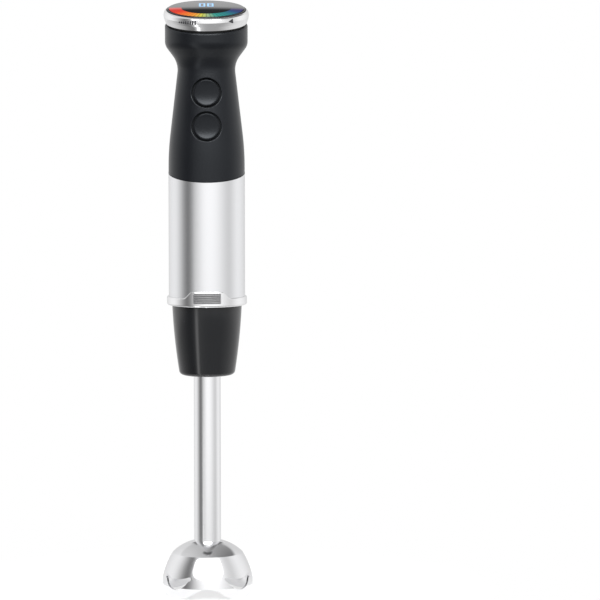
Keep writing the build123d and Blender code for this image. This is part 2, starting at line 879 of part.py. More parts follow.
dial_place = Pos(0, 0, top_level) * Rot(tilt, 0, 0)
ring_low = dial_gap
ring_high = dial_gap + dial_height
post_radius = 21.4
post_bore = 19.6
post_top = ring_high - 1.5
carrier_outer = lens_radius - 1.6
base_radius = top_radius - handle_wall - 0.3
board_level = 2.2


def make_dial_base():
    """The fixed plate that closes the handle's top, with the post the dial turns on."""
    plate = disc(base_radius, -2.5, dial_gap - 0.4) - disc(post_bore - 2, -5, 5)
    post = ring(post_radius, post_bore, dial_gap - 0.5, post_top)
    board_ledge = ring(post_radius, post_bore - 2, -2.5, board_level)
    floor = disc(post_bore, -2.5, -1.3) - disc(5, -5, 5)
    base = joined([plate, post, board_ledge, floor])
    for hole in around(3, Pos(12.5, 0, 0) * disc(1.3, -5, 5), 30):
        base -= hole
    return dial_place * base


def make_dial_screws():
    screw = Pos(12.5, 0, 0) * (disc(1.2, -6, -1.3) + disc(2.4, -1.3, 0.2))
    return [dial_place * s for s in around(3, screw, 30)]


def make_dial_ring():
    """The turning chrome ring: a bulged upper band over a narrower lower bevel."""
    knee = ring_low + 0.36 * dial_height
    widest = ring_low + 0.62 * dial_height
    body = turned(
        (carrier_outer, ring_low),
        (dial_radius - 1.7, ring_low, 0.5),
        (dial_radius - 0.55, knee, 0.8),
        (dial_radius, widest, 3.5),
        (dial_radius - 0.7, ring_high - 1.0, 1.6),
        (lens_radius + 0.9, ring_high, 0.5),
        (lens_radius + 0.3, ring_high, 0.2),
        (lens_radius + 0.3, post_top - 0.3),
        (carrier_outer, post_top - 0.3),
    )
    return dial_place * body


def make_dial_carrier():
    """The plastic hub pressed into the chrome ring, with pockets for the sensing magnets."""
    hub = ring(carrier_outer, post_radius + fit, ring_low, post_top - 0.3)
    for pocket in around(8, Pos(23.4, 0, 0) * disc(1.25, ring_low - 1, ring_low + 2.0)):
        hub -= pocket
    for notch in around(40, Pos(24.9, 0, 0) * block(0.8, 0.8, post_top - 1.3, post_top + 1)):
        hub -= notch
    return dial_place * hub


def make_dial_magnets():
    magnet = Pos(23.4, 0, 0) * disc(1.25, ring_low + 0.1, ring_low + 2.0)
    return [dial_place * m for m in around(8, magnet)]


def make_display_board():
    return dial_place * disc(post_bore - fit, board_level, board_level + 1.2)


def make_display_lights():
    """The ring of coloured lights and the digit block, as they stand on their board."""
    led = Pos(15.5, 0, 0) * block(1.4, 2.0, board_level + 1.2, board_level + 2.0)
    digits = block(13, 11, board_level + 1.2, post_top - 0.6)
    return [dial_place * digits] + [dial_place * Rot(0, 0, 10 + 20 * i) * led for i in range(18)]


def make_light_guide():
    """The clear ring that spreads the coloured light under the lens."""
    return dial_place * ring(17.2, 12.0, board_level + 2.4, post_top - 0.2)


def make_lens():
    """The dark window over the display, slightly domed, with a skirt that plugs into the post."""
    crown_radius = (lens_radius**2 + lens_dome**2) / (2 * lens_dome)
    rim_level = ring_high + lens_proud
    crown = Pos(0, 0, rim_level + lens_dome - crown_radius) * Sphere(crown_radius)
    window = disc(lens_radius, post_top, rim_level + 2) & crown
    rim = window.edges().filter_by(lambda e: abs(e.length - 2 * pi * lens_radius) < 0.1)
    window = fillet(rim.sort_by(Axis.Z)[-1:], 0.35)
    return dial_place * (window + ring(post_bore - fit, 17.4, post_top - 2.2, post_top))


# ---------------------------------------------------------------- assembly


def add(name, shape):
    """Files a piece under its name; a list is a group of separate solids."""
    parts[name] = Compound(children=[s for s in shape]) if isinstance(shape, list) else shape


front_half, rear_half = make_handle_halves()
add("handle_front", front_half)
add("handle_rear", rear_half)
add("motor_sleeve", make_sleeve())
add("trim_ring", make_trim_ring())
add("drive_socket", make_drive_socket())
add("base_screws", make_base_screws())
add("motor_frame", make_motor_frame())
add("cord_gland", make_cord_gland())

add("lower_bracket", make_lower_bracket())
add("upper_bracket", make_upper_bracket())
add("lower_bearing", make_lower_bearing())
add("upper_bearing", make_upper_bearing())
add("rubber_mounts", make_rubber_mounts())
add("stator_core", make_stator_core())
add("field_coils", make_field_coils())
add("tie_bolts", make_tie_bolts())
add("brush_holders", make_brush_holders())
add("carbon_brushes", make_carbon_brushes())
add("brush_springs", make_brush_springs())

add("motor_shaft", make_motor_shaft())
add("armature_core", make_armature_core())
add("armature_winding", make_armature_winding())
add("commutator", make_commutator())
add("cooling_fan", make_fan())
add("motor_coupler", make_motor_coupler())

add("button_guide", make_button_guide())
add("control_board", make_control_board())
add("tact_switches", make_tact_switches())
add("power_heat_sink", make_heat_sink())
add("capacitor", make_capacitor())
for name, spot in button_spots.items():
    add(name + "_button", make_button(spot))
    add(name + "_button_spring", make_button_spring(spot))

add("dial_base", make_dial_base())
add("dial_screws", make_dial_screws())
add("dial_ring", make_dial_ring())
add("dial_carrier", make_dial_carrier())
add("dial_magnets", make_dial_magnets())
add("display_board", make_display_board())
add("display_lights", make_display_lights())
add("light_guide", make_light_guide())
add("display_lens", make_lens())

add("coupling_seal", make_coupling_seal())
add("foot_collar", make_foot_collar())
add("collar_insert", make_collar_insert())
add("shaft_tube", make_tube())
add("bell", make_bell())
add("bearing_housing", make_bearing_housing())
add("lower_bush", make_lower_bush())
add("tube_bushes", make_tube_bushes())
add("lip_seal", make_lip_seal())
add("seal_retainer", make_seal_retainer())

add("drive_shaft", make_drive_shaft())
add("foot_coupler", make_foot_coupler())
add("retaining_clip", make_retaining_clip())
add("thrust_washer", make_thrust_washer())
add("blade_hub", make_blade_hub())
add("blade", make_blade())
add("blade_nut", make_blade_nut())

os.makedirs("parts", exist_ok=True)
for name, shape in parts.items():
    export_step(shape, f"parts/{name}.step")
print(len(parts), "nodes")
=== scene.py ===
import json
import math

import bmesh
import bpy
from mathutils import Matrix, Vector


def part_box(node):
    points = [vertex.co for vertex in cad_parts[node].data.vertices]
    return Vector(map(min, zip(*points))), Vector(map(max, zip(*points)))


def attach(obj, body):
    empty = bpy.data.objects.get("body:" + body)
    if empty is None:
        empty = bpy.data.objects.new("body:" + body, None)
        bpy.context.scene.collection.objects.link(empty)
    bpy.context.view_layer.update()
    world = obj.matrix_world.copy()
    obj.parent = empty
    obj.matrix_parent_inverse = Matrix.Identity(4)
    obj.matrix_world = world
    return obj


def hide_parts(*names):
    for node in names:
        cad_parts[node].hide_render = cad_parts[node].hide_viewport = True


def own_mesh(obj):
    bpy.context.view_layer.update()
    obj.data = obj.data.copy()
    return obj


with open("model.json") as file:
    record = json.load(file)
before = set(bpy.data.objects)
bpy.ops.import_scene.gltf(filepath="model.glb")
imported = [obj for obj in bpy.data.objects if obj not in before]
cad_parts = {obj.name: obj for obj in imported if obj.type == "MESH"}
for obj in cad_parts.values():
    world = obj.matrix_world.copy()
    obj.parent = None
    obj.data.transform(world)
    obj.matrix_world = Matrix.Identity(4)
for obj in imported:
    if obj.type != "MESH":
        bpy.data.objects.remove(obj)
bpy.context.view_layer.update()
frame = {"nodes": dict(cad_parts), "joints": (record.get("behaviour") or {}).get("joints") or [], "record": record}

mm = 0.001
nodes = frame["nodes"]
joints = {joint["name"]: joint for joint in frame["joints"]}


class Wire:
    # a socket of a node tree; arithmetic on it adds Math nodes
    def __init__(self, tree, socket=None):
        self.tree = tree
        self.socket = socket

    def node(self, kind, settings=None, values=None, output=0):
        made = self.tree.nodes.new(kind)
        for name, value in (settings or {}).items():
            if name == "stops":
                elements = made.color_ramp.elements
                while len(elements) < len(value):
                    elements.new(0.5)
                for element, (position, colour) in zip(elements, value):
                    element.position = position
                    element.color = (*colour, 1)
            elif name == "interpolation":
                made.color_ramp.interpolation = value
            else:
                setattr(made, name, value)
        for name, value in (values or {}).items():
            if isinstance(value, Wire):
                self.tree.links.new(value.socket, made.inputs[name])
            else:
                made.inputs[name].default_value = value
        return Wire(self.tree, made.outputs[output])

    def maths(self, operation, first, second=None):
        values = {0: first} if second is None else {0: first, 1: second}
        return self.node("ShaderNodeMath", {"operation": operation}, values)

    def __add__(self, other):
        return self.maths("ADD", self, other)

    def __radd__(self, other):
        return self.maths("ADD", other, self)

    def __sub__(self, other):
        return self.maths("SUBTRACT", self, other)

    def __rsub__(self, other):
        return self.maths("SUBTRACT", other, self)

    def __mul__(self, other):
        return self.maths("MULTIPLY", self, other)

    def __rmul__(self, other):
        return self.maths("MULTIPLY", other, self)

    def __truediv__(self, other):
        return self.maths("DIVIDE", self, other)


def shades(value):
    return (value, value, value)


def mixColours(factor, first, second):
    # inputs 6 and 7 and output 2 are the node's colours
    settings = {"data_type": "RGBA"}
    return factor.node("ShaderNodeMix", settings, {0: factor, 6: first, 7: second}, 2)


def place(wire):
    # Object coordinates, in metres
    return wire.node("ShaderNodeTexCoord", output=3)


def stretched(wire, scale):
    return wire.node("ShaderNodeMapping", {}, {"Vector": place(wire), "Scale": scale})


def grain(wire, scale, size, detail=3.0):
    values = {"Vector": stretched(wire, scale), "Scale": size, "Detail": detail}
    return wire.node("ShaderNodeTexNoise", {}, values)


def bumped(height, strength, distance):
    values = {"Strength": strength, "Distance": distance, "Height": height}
    return height.node("ShaderNodeBump", {}, values)


def newMaterial(name, constants, varied):
    material = bpy.data.materials.new(name)
    material.use_nodes = True
    tree = material.node_tree
    shader = tree.nodes["Principled BSDF"]
    for socket, value in constants.items():
        shader.inputs[socket].default_value = value
    for socket, wire in varied(Wire(tree)).items():
        tree.links.new(wire.socket, shader.inputs[socket])
    return material


# the darkest and lightest colour of each finish, and where its roughness starts
looks = {
    "softGrip": ((0.0042, 0.0048, 0.0064), (0.0060, 0.0067, 0.0085), 0.24),
    "satinButton": ((0.0034, 0.0038, 0.0050), (0.0048, 0.0053, 0.0066), 0.23),
    "glossBlack": ((0.0045, 0.005, 0.006), (0.0065, 0.007, 0.0085), 0.07),
    "lensBlack": ((0.004, 0.0045, 0.006), (0.006, 0.0065, 0.009), 0.015),
    "brushedSteel": ((0.73, 0.735, 0.75), (0.80, 0.80, 0.815), 0.15),
    "polishedSteel": ((0.76, 0.76, 0.775), (0.81, 0.81, 0.82), 0.09),
    "satinChrome": ((0.80, 0.80, 0.81), (0.85, 0.85, 0.855), 0.08),
    "zincSteel": (shades(0.5), shades(0.66), 0.24),
    "plainAluminium": (shades(0.66), shades(0.76), 0.3),
    "turnedBrass": ((0.66, 0.48, 0.2), (0.78, 0.6, 0.28), 0.24),
    "laminatedSteel": ((0.10, 0.10, 0.11), (0.32, 0.33, 0.35), 0.38),
    "woundCopper": ((0.30, 0.09, 0.03), (0.72, 0.30, 0.12), 0.28),
    "pressedCarbon": (shades(0.02), shades(0.05), 0.55),
    "blackPlastic": (shades(0.01), shades(0.02), 0.4),
    "naturalPlastic": ((0.62, 0.60, 0.54), (0.72, 0.70, 0.64), 0.42),
    "clearPlastic": (shades(0.88), shades(0.95), 0.08),
    "blackRubber": (shades(0.008), shades(0.016), 0.6),
    "circuitBoard": ((0.01, 0.09, 0.04), (0.02, 0.14, 0.06), 0.35),
    "paleFloor": (shades(0.42), shades(0.45), 0.5),
}


def tinted(factor, finish):
    dark, light = looks[finish][:2]
    return mixColours(factor, (*dark, 1), (*light, 1))


def rough(finish):
    return looks[finish][2]


def softGrip(wire):
    tone = grain(wire, shades(1), 60.0)
    pores = grain(wire, shades(1), 2600.0, 2.0)
    return {
        "Base Color": tinted(tone, "softGrip"),
        "Roughness": rough("softGrip") + 0.05 * tone + 0.05 * pores,
        "Normal": bumped(pores, 0.16, 0.05 * mm),
    }


def brushedSteel(wire):
    # hair lines run round the sleeve, so the grain is squeezed along its height
    lines = grain(wire, (1, 1, 60), 95.0, 5.0)
    cloud = grain(wire, (1, 1, 0.3), 45.0)
    return {
        "Base Color": tinted(lines, "brushedSteel"),
        "Roughness": rough("brushedSteel") + 0.08 * lines + 0.03 * cloud,
        "Normal": bumped(lines, 0.05, 0.03 * mm),
    }


def polishedSteel(wire):
    lines = grain(wire, (1, 1, 40), 120.0, 4.0)
    cloud = grain(wire, shades(1), 55.0)
    return {
        "Base Color": tinted(cloud, "polishedSteel"),
        "Roughness": rough("polishedSteel") + 0.06 * cloud + 0.04 * lines,
        "Normal": bumped(lines, 0.03, 0.02 * mm),
    }


def satinChrome(wire):
    cloud = grain(wire, shades(1), 80.0)
    lines = grain(wire, (1, 1, 30), 160.0, 4.0)
    return {
        "Base Color": tinted(cloud, "satinChrome"),
        "Roughness": rough("satinChrome") + 0.05 * lines + 0.04 * cloud,
    }


def glossBlack(wire):
    cloud = grain(wire, shades(1), 40.0)
    ripple = grain(wire, shades(1), 90.0, 1.0)
    return {
        "Base Color": tinted(cloud, "glossBlack"),
        "Roughness": rough("glossBlack") + 0.05 * cloud,
        "Normal": bumped(ripple, 0.03, 0.05 * mm),
    }


def satinButton(wire):
    tone = grain(wire, shades(1), 90.0)
    pores = grain(wire, shades(1), 3200.0, 2.0)
    return {
        "Base Color": tinted(tone, "satinButton"),
        "Roughness": rough("satinButton") + 0.05 * tone,
        "Normal": bumped(pores, 0.08, 0.04 * mm),
    }


def cloudy(finish, size=120.0, strength=0.1):
    # a plain finish with faint clouds in it and a fine skin
    def build(wire):
        cloud = grain(wire, shades(1), size)
        fine = grain(wire, shades(1), size * 12, 2.0)
        return {
            "Base Color": tinted(cloud, finish),
            "Roughness": rough(finish) + 0.08 * cloud,
            "Normal": bumped(fine, strength, 0.04 * mm),
        }

    return build


def laminated(wire):
    sheets = wire.node(
        "ShaderNodeTexWave",
        {"bands_direction": "Z"},
        {"Vector": place(wire), "Scale": 320.0, "Distortion": 0.0},
    )
    return {
        "Base Color": tinted(sheets, "laminatedSteel"),
        "Roughness": rough("laminatedSteel") + 0.15 * sheets,
    }


def woundCopper(wire):
    turns = wire.node(
        "ShaderNodeTexWave",
        {"bands_direction": "DIAGONAL"},
        {"Vector": place(wire), "Scale": 420.0, "Distortion": 1.0, "Detail Scale": 30.0},
    )
    return {
        "Base Color": tinted(turns, "woundCopper"),
        "Roughness": rough("woundCopper") + 0.1 * turns,
        "Normal": bumped(turns, 0.4, 0.1 * mm),
    }


# the dial and its lens are measured in their own frame, raised and tilted, in millimetres and degrees
dialFrame = {"level": 403.2, "tilt": 12.0}


def dialPlace(wire):
    values = {
        "Vector": place(wire),
        "Location": (0, 0, dialFrame["level"] * mm),
        "Rotation": (math.radians(dialFrame["tilt"]), 0, 0),
        "Scale": shades(mm),
    }
    return wire.node("ShaderNodeMapping", {"vector_type": "TEXTURE"}, values)


def parted(spot):
    return [spot.node("ShaderNodeSeparateXYZ", {}, {"Vector": spot}, axis) for axis in range(3)]


def eased(value, start, end):
    values = {"Value": value, "From Min": start, "From Max": end}
    return value.node("ShaderNodeMapRange", {"interpolation_type": "SMOOTHSTEP"}, values)


# soft-edged masks: 1 inside the limits, falling to 0 over the soft width outside them
def above(value, low, soft):
    return eased(value, low - soft, low)


def below(value, high, soft):
    return eased(value, high + soft, high)


def between(value, low, high, soft):
    return above(value, low, soft) * below(value, high, soft)


def ramp(value, stops, interpolation="LINEAR"):
    settings = {"stops": stops, "interpolation": interpolation}
    return value.node("ShaderNodeValToRGB", settings, {"Fac": value})


def flatRadius(x, y):
    return x.maths("SQRT", x * x + y * y)


def bearing(x, y):
    # whole turns from the front, growing to the right
    return x.maths("ARCTAN2", x, 0 - y) / (2 * math.pi)


# colours by the angle from the front, in degrees
lampArc = {
    "inner": 17.6,
    "outer": 25.8,
    "soft": 0.5,
    "count": 54,
    "lit": (0.12, 0.90),
    "spill": 0.35,
    "colours": (
        (-100, (0.0, 0.0, 0.0)),
        (-92, (0.62, 0.03, 0.015)),
        (-60, (0.85, 0.045, 0.015)),
        (-48, (0.95, 0.13, 0.015)),
        (-22, (0.92, 0.33, 0.03)),
        (-8, (0.62, 0.62, 0.08)),
        (4, (0.30, 0.46, 0.26)),
        (16, (0.03, 0.33, 0.27)),
        (44, (0.015, 0.20, 0.24)),
        (62, (0.02, 0.07, 0.22)),
        (80, (0.035, 0.02, 0.13)),
        (96, (0.0, 0.0, 0.0)),
    ),
}
# two figures of seven bars, side by side, each mirrored about its own middle
digits = {
    "back": 10.0,
    "apart": 2.9,
    "half": (2.2, 5.6),
    "stroke": 1.15,
    "inset": 0.06,
    "gap": 0.16,
    "soft": 0.08,
    "cornerSoft": 0.06,
    "waistSoft": 0.05,
    "colour": (0.16, 0.52, 1.0),
}


def displayLens(wire):
    x, y = parted(dialPlace(wire))[:2]
    radius = flatRadius(x, y)
    turn = bearing(x, y)
    stops = [((angle + 180) / 360, colour) for angle, colour in lampArc["colours"]]
    arc = ramp(turn + 0.5, stops)
    band = between(radius, lampArc["inner"], lampArc["outer"], lampArc["soft"])
    step = x.maths("FRACT", (turn + 0.5) * lampArc["count"])
    spill = lampArc["spill"]
    glow = band * (spill + (1 - spill) * between(step, *lampArc["lit"], 0.05))
    halfWide, halfTall = digits["half"]
    soft, gap = digits["soft"], digits["gap"]
    across = x.maths("ABSOLUTE", x.maths("ABSOLUTE", x) - digits["apart"])
    along = x.maths("ABSOLUTE", y - digits["back"])
    inset = x.maths("MINIMUM", halfWide - across, halfTall - along)
    stroke = between(inset, digits["inset"], digits["stroke"], soft)
    corner = x.maths("ABSOLUTE", (halfWide - across) - (halfTall - along))
    stroke = stroke * above(corner, gap, digits["cornerSoft"])
    stroke = stroke * above(along, gap, digits["waistSoft"])
    # the middle bar is lit only in the right-hand figure
    bar = below(across, halfWide - digits["stroke"] - gap, soft)
    bar = bar * below(along, 0.5 * digits["stroke"], soft) * above(x, 0.0, 0.1)
    figure = x.maths("MAXIMUM", stroke, bar)
    light = mixColours(glow, (0, 0, 0, 1), arc)
    cloud = grain(wire, shades(1), 60.0)
    return {
        "Base Color": tinted(cloud, "lensBlack"),
        "Roughness": rough("lensBlack") + 0.02 * cloud,
        "Emission Color": mixColours(figure, light, (*digits["colour"], 1)),
    }


# small printed marks on the dial's upper band: a rising row of bars and a pointer,
# with a dark line where the ring meets the display
dialMarks = {
    "bars": (-40.0, -13.0),
    "barCount": 8,
    "barFill": (0.12, 0.72),
    "firstBar": 0.35,
    "pointer": (31.0, 45.0),
    "pointerLength": 0.55,
    "low": 6.2,
    "high": 9.3,
    "soft": 0.06,
    "lip": 28.0,
    "lipLevel": 9.9,
    "lipSoft": 0.1,
    "ink": (0.02, 0.02, 0.024),
}


def markedChrome(wire):
    x, y, z = parted(dialPlace(wire))
    turn = bearing(x, y) * 360
    low, high, soft = dialMarks["low"], dialMarks["high"], dialMarks["soft"]
    first, last = dialMarks["bars"]
    share = (turn - first) / (last - first)
    shortest = dialMarks["firstBar"]
    rise = low + (high - low) * (shortest + (1 - shortest) * share)
    step = x.maths("FRACT", share * dialMarks["barCount"])
    bars = between(share, 0.0, 1.0, 0.005) * between(step, *dialMarks["barFill"], 0.05)
    bars = bars * above(rise - z, 0.0, soft) * above(z, low, soft)
    start, end = dialMarks["pointer"]
    middle = 0.5 * (low + high)
    slope = x.maths("ABSOLUTE", z - middle) / (high - middle)
    pointer = above((turn - start) / (end - start) - slope * 0.5, 0.0, 0.02)
    pointer = pointer * below(slope, 1.0, 0.05)
    pointer = pointer * between(turn, start, start + dialMarks["pointerLength"] * (end - start), 0.15)
    lip = below(flatRadius(x, y), dialMarks["lip"], dialMarks["lipSoft"])
    lip = lip * above(z, dialMarks["lipLevel"], dialMarks["lipSoft"])
    marks = x.maths("MAXIMUM", x.maths("MAXIMUM", bars, pointer), lip)
    plain = satinChrome(wire)
    return {
        "Base Color": mixColours(marks, plain["Base Color"], (*dialMarks["ink"], 1)),
        "Roughness": plain["Roughness"] + 0.25 * marks,
        "Metallic": 1 - marks,
    }


# the ribbed patch on the lock tab, at the front of the trim ring, in millimetres
tabPatch = {
    "radius": 28.2,
    "half": 9.2,
    "low": 209.3,
    "high": 215.9,
    "rows": 5,
    "height": 0.6,
    "proud": 0.16,
    "sunk": 0.2,
    "bevel": 0.12,
    "steps": 24,
    "grey": (0.085, 0.085, 0.09),
}


def tabChrome(wire):
    # dull grey under the ribs
    x, y, z = parted(stretched(wire, shades(1 / mm)))
    patch = between(x, -tabPatch["half"], tabPatch["half"], 0.9)
    patch = patch * between(z, tabPatch["low"], tabPatch["high"], 0.5) * above(0 - y, 0.0, 1.0)
    plain = satinChrome(wire)
    return {
        "Base Color": mixColours(patch, plain["Base Color"], (*tabPatch["grey"], 1)),
        "Roughness": plain["Roughness"] + 0.3 * patch,
        "Metallic": 1 - 0.7 * patch,
    }


metal = {"Metallic": 1.0}
finishes = {
    "grip": newMaterial(
        "softGrip", {"Specular IOR Level": 0.30, "Specular Tint": (0.90, 0.95, 1.0, 1)}, softGrip
    ),
    "button_black": newMaterial(
        "satinButton", {"Specular IOR Level": 0.21, "Specular Tint": (0.88, 0.94, 1.0, 1)}, satinButton
    ),
    "gloss_black": newMaterial("glossBlack", {"Specular IOR Level": 0.6}, glossBlack),
    "lens_black": newMaterial(
        "lensBlack", {"Specular IOR Level": 0.75, "Emission Strength": 1.0}, displayLens
    ),
    "steel": newMaterial("brushedSteel", metal, brushedSteel),
    "polished_steel": newMaterial("polishedSteel", metal, polishedSteel),
    "chrome_trim": newMaterial("satinChrome", metal, satinChrome),
    "zinc_steel": newMaterial("zincSteel", metal, cloudy("zincSteel")),
    "aluminium": newMaterial("plainAluminium", metal, cloudy("plainAluminium")),
    "brass": newMaterial("turnedBrass", metal, cloudy("turnedBrass")),
    "lamination": newMaterial("laminatedSteel", metal, laminated),
    "copper": newMaterial("woundCopper", metal, woundCopper),
    "carbon": newMaterial("pressedCarbon", {}, cloudy("pressedCarbon")),
    "black_plastic": newMaterial("blackPlastic", {}, cloudy("blackPlastic")),
    "natural_plastic": newMaterial("naturalPlastic", {"Subsurface Weight": 0.05}, cloudy("naturalPlastic")),
    "clear_plastic": newMaterial("clearPlastic", {"Transmission Weight": 0.9}, cloudy("clearPlastic")),
    "rubber_black": newMaterial("blackRubber", {}, cloudy("blackRubber", 200.0, 0.25)),
    "board": newMaterial("circuitBoard", {}, cloudy("circuitBoard", 400.0)),
}
dialChrome = newMaterial("dialChrome", {}, markedChrome)
ringChrome = newMaterial("ringChrome", {}, tabChrome)

slotOf = {row["node"]: row["material_slot"] for row in frame["record"]["subparts"]}
for name, thing in nodes.items():
    thing.data.materials.clear()
    thing.data.materials.append(finishes[slotOf[name]])
nodes["dial_ring"].data.materials[0] = dialChrome
nodes["trim_ring"].data.materials[0] = ringChrome
print("finishes on", len(nodes), "nodes")


def linked(name, data):
    thing = bpy.data.objects.new(name, data)
    bpy.context.scene.collection.objects.link(thing)
    return thing


def meshFrom(name, shape):
    mesh = bpy.data.meshes.new(name)
    shape.to_mesh(mesh)
    shape.free()
    return mesh


def newPiece(name, shape, body, slotName, sharp=40):
    bmesh.ops.recalc_face_normals(shape, faces=shape.faces)
    mesh = meshFrom(name, shape)
    mesh.polygons.foreach_set("use_smooth", [True] * len(mesh.polygons))
    mesh.set_sharp_from_angle(angle=math.radians(sharp))
    mesh.materials.append(finishes[slotName])
    piece = linked(name, mesh)
    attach(piece, body)
    return piece


def lathed(profile, segments):
    # turns a line of (radius, height) points, in millimetres, once round Z
    shape = bmesh.new()
    points = [shape.verts.new((radius * mm, 0, height * mm)) for radius, height in profile]
    edges = [shape.edges.new(pair) for pair in zip(points, points[1:])]
    bmesh.ops.spin(
        shape,
        geom=points + edges,
        cent=(0, 0, 0),
        axis=(0, 0, 1),
        angle=math.tau,
        steps=segments,
        use_merge=True,
    )
    bmesh.ops.remove_doubles(shape, verts=shape.verts, dist=0.001 * mm)
    return shape


def roundedRim(radius, height, wide, tall):
    # points of a quarter round, from its top out and down to its side
    angles = [math.radians(15 * i) for i in range(1, 7)]
    return [(radius + wide * math.sin(a), height - tall * (1 - math.cos(a))) for a in angles]


# millimetres; a button's heights start at the handle's round, and its cap stands just proud of that
button = {
    "radius": 9.4,
    "crest": 8.55,
    "proud": 0.1,
    "dish": 0.95,
    "dishPower": 2.1,
    "rings": 14,
    "rounding": 0.75,
    "flange": 11.2,
    "flangeThickness": 1.0,
    "stem": 2.2,
    "handleWall": 2.2,
    "slack": 0.5,
    "bent": -1.2,
    "segments": 96,
}


def pressAxis(key):
    # the way that a button comes out, and a point on its line in the middle of its spring
    outward = -Vector(joints[key + "_press"]["axis"]).normalized()
    low, high = (Vector(corner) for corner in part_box(key + "_button_spring"))
    return outward, (low + high) / 2


def reachAlong(node, outward, centre):
    heights = [outward.dot(vertex.co - centre) for vertex in nodes[node].data.vertices]
    return min(heights), max(heights)


def makeButton(key):
    # a dished cap that follows the handle's round, with the flange and stem behind it
    outward, centre = pressAxis(key)
    lowest, highest = reachAlong(key + "_button", outward, centre)
    top = highest / mm - button["proud"]
    stemEnd = lowest / mm - top
    axisPoint = centre + outward * top * mm
    handleRadius = -axisPoint.y / mm
    inner = handleRadius - button["handleWall"]
    flangeTop = math.sqrt(inner**2 - button["flange"] ** 2) - handleRadius - button["slack"]
    flangeBottom = flangeTop - button["flangeThickness"]
    crest, proud = button["crest"], button["proud"]
    shares = [i / button["rings"] for i in range(button["rings"] + 1)]
    profile = [
        (crest * share, proud - button["dish"] * (1 - share ** button["dishPower"])) for share in shares
    ]
    profile += roundedRim(crest, proud, button["radius"] - crest, button["rounding"])
    profile += [
        (button["radius"], flangeTop),
        (button["flange"], flangeTop),
        (button["flange"], flangeBottom),
        (button["stem"], flangeBottom),
        (button["stem"], stemEnd),
        (0.0, stemEnd),
    ]
    shape = lathed(profile, button["segments"])
    side = Vector((1, 0, 0))
    frameTurn = Matrix((side, outward.cross(side), outward)).transposed()
    for vertex in shape.verts:
        # only the cap above the flange is bent round the handle
        if vertex.co.z > button["bent"] * mm:
            across = vertex.co.x / mm
            vertex.co.z += (math.sqrt(handleRadius**2 - across**2) - handleRadius) * mm
        vertex.co = axisPoint + frameTurn @ vertex.co
    piece = newPiece(key + "Cap", shape, key + "_key", "button_black", sharp=50)
    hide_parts(key + "_button")


# millimetres, whole turns, and steps for each turn
spring = {"radius": 3.2, "wire": 0.22, "turns": 3.5, "steps": 34, "sides": 10, "travel": 1.4}


def makeSpring(key):
    # a coil seated on the guide plate, fixed to the motor unit
    outward, centre = pressAxis(key)
    start, end = reachAlong(key + "_button_spring", outward, centre)
    side = Vector((1, 0, 0))
    up = outward.cross(side)
    wire, radius = spring["wire"] * mm, spring["radius"] * mm
    count = int(spring["turns"] * spring["steps"])
    shape = bmesh.new()
    rows = []
    for i in range(count + 1):
        angle = math.tau * i / spring["steps"]
        out = side * math.cos(angle) + up * math.sin(angle)
        rise = start + wire + (end - start - 2 * wire) * i / count
        middle = centre + outward * rise + out * radius
        rows.append([])
        for j in range(spring["sides"]):
            turn = math.tau * j / spring["sides"]
            offset = (out * math.cos(turn) + outward * math.sin(turn)) * wire
            rows[-1].append(shape.verts.new(middle + offset))
    for first, second in zip(rows, rows[1:]):
        for j in range(spring["sides"]):
            k = (j + 1) % spring["sides"]
            shape.faces.new((first[j], first[k], second[k], second[j]))
    shape.faces.new(rows[0])
    shape.faces.new(rows[-1])
    piece = newPiece(key + "Coil", shape, "motor_unit", "zinc_steel", sharp=60)
    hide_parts(key + "_button_spring")
    keep = 1 - spring["travel"] * mm / (end - start)
    centre + outward * start
    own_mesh(piece)


for key in ("speed", "turbo"):
    makeButton(key)
    makeSpring(key)
print("buttons ready")

# millimetres in the dial's own frame
lens = {
    "radius": 27.2,
    "crown": 11.9,
    "dome": 0.6,
    "rings": 24,
    "edge": 0.35,
    "low": 9.1,
    "skirt": (17.4, 19.5),
    "skirtLow": 6.9,
    "segments": 128,
}


def makeLens():
    # the window's slightly domed top, its rounded rim and the skirt that plugs into the post
    radius, edge = lens["radius"], lens["edge"]
    bend = (radius**2 + lens["dome"] ** 2) / (2 * lens["dome"])

    def crownAt(distance):
        return lens["crown"] - bend + math.sqrt(bend**2 - distance**2)

    reach = radius - edge
    steps = [reach * i / lens["rings"] for i in range(lens["rings"] + 1)]
    profile = [(distance, crownAt(distance)) for distance in steps]
    profile += roundedRim(reach, crownAt(reach), edge, edge)
    inner, outer = lens["skirt"]
    profile += [
        (radius, lens["low"]),
        (outer, lens["low"]),
        (outer, lens["skirtLow"]),
        (inner, lens["skirtLow"]),
        (inner, lens["low"]),
        (0.0, lens["low"]),
    ]
    shape = lathed(profile, lens["segments"])
    lean = Matrix.Rotation(math.radians(dialFrame["tilt"]), 4, "X")
    shape.transform(Matrix.Translation((0, 0, dialFrame["level"] * mm)) @ lean)
    piece = newPiece("lensWindow", shape, "motor_unit", "lens_black")
    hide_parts("display_lens")


makeLens()
print("lens ready")


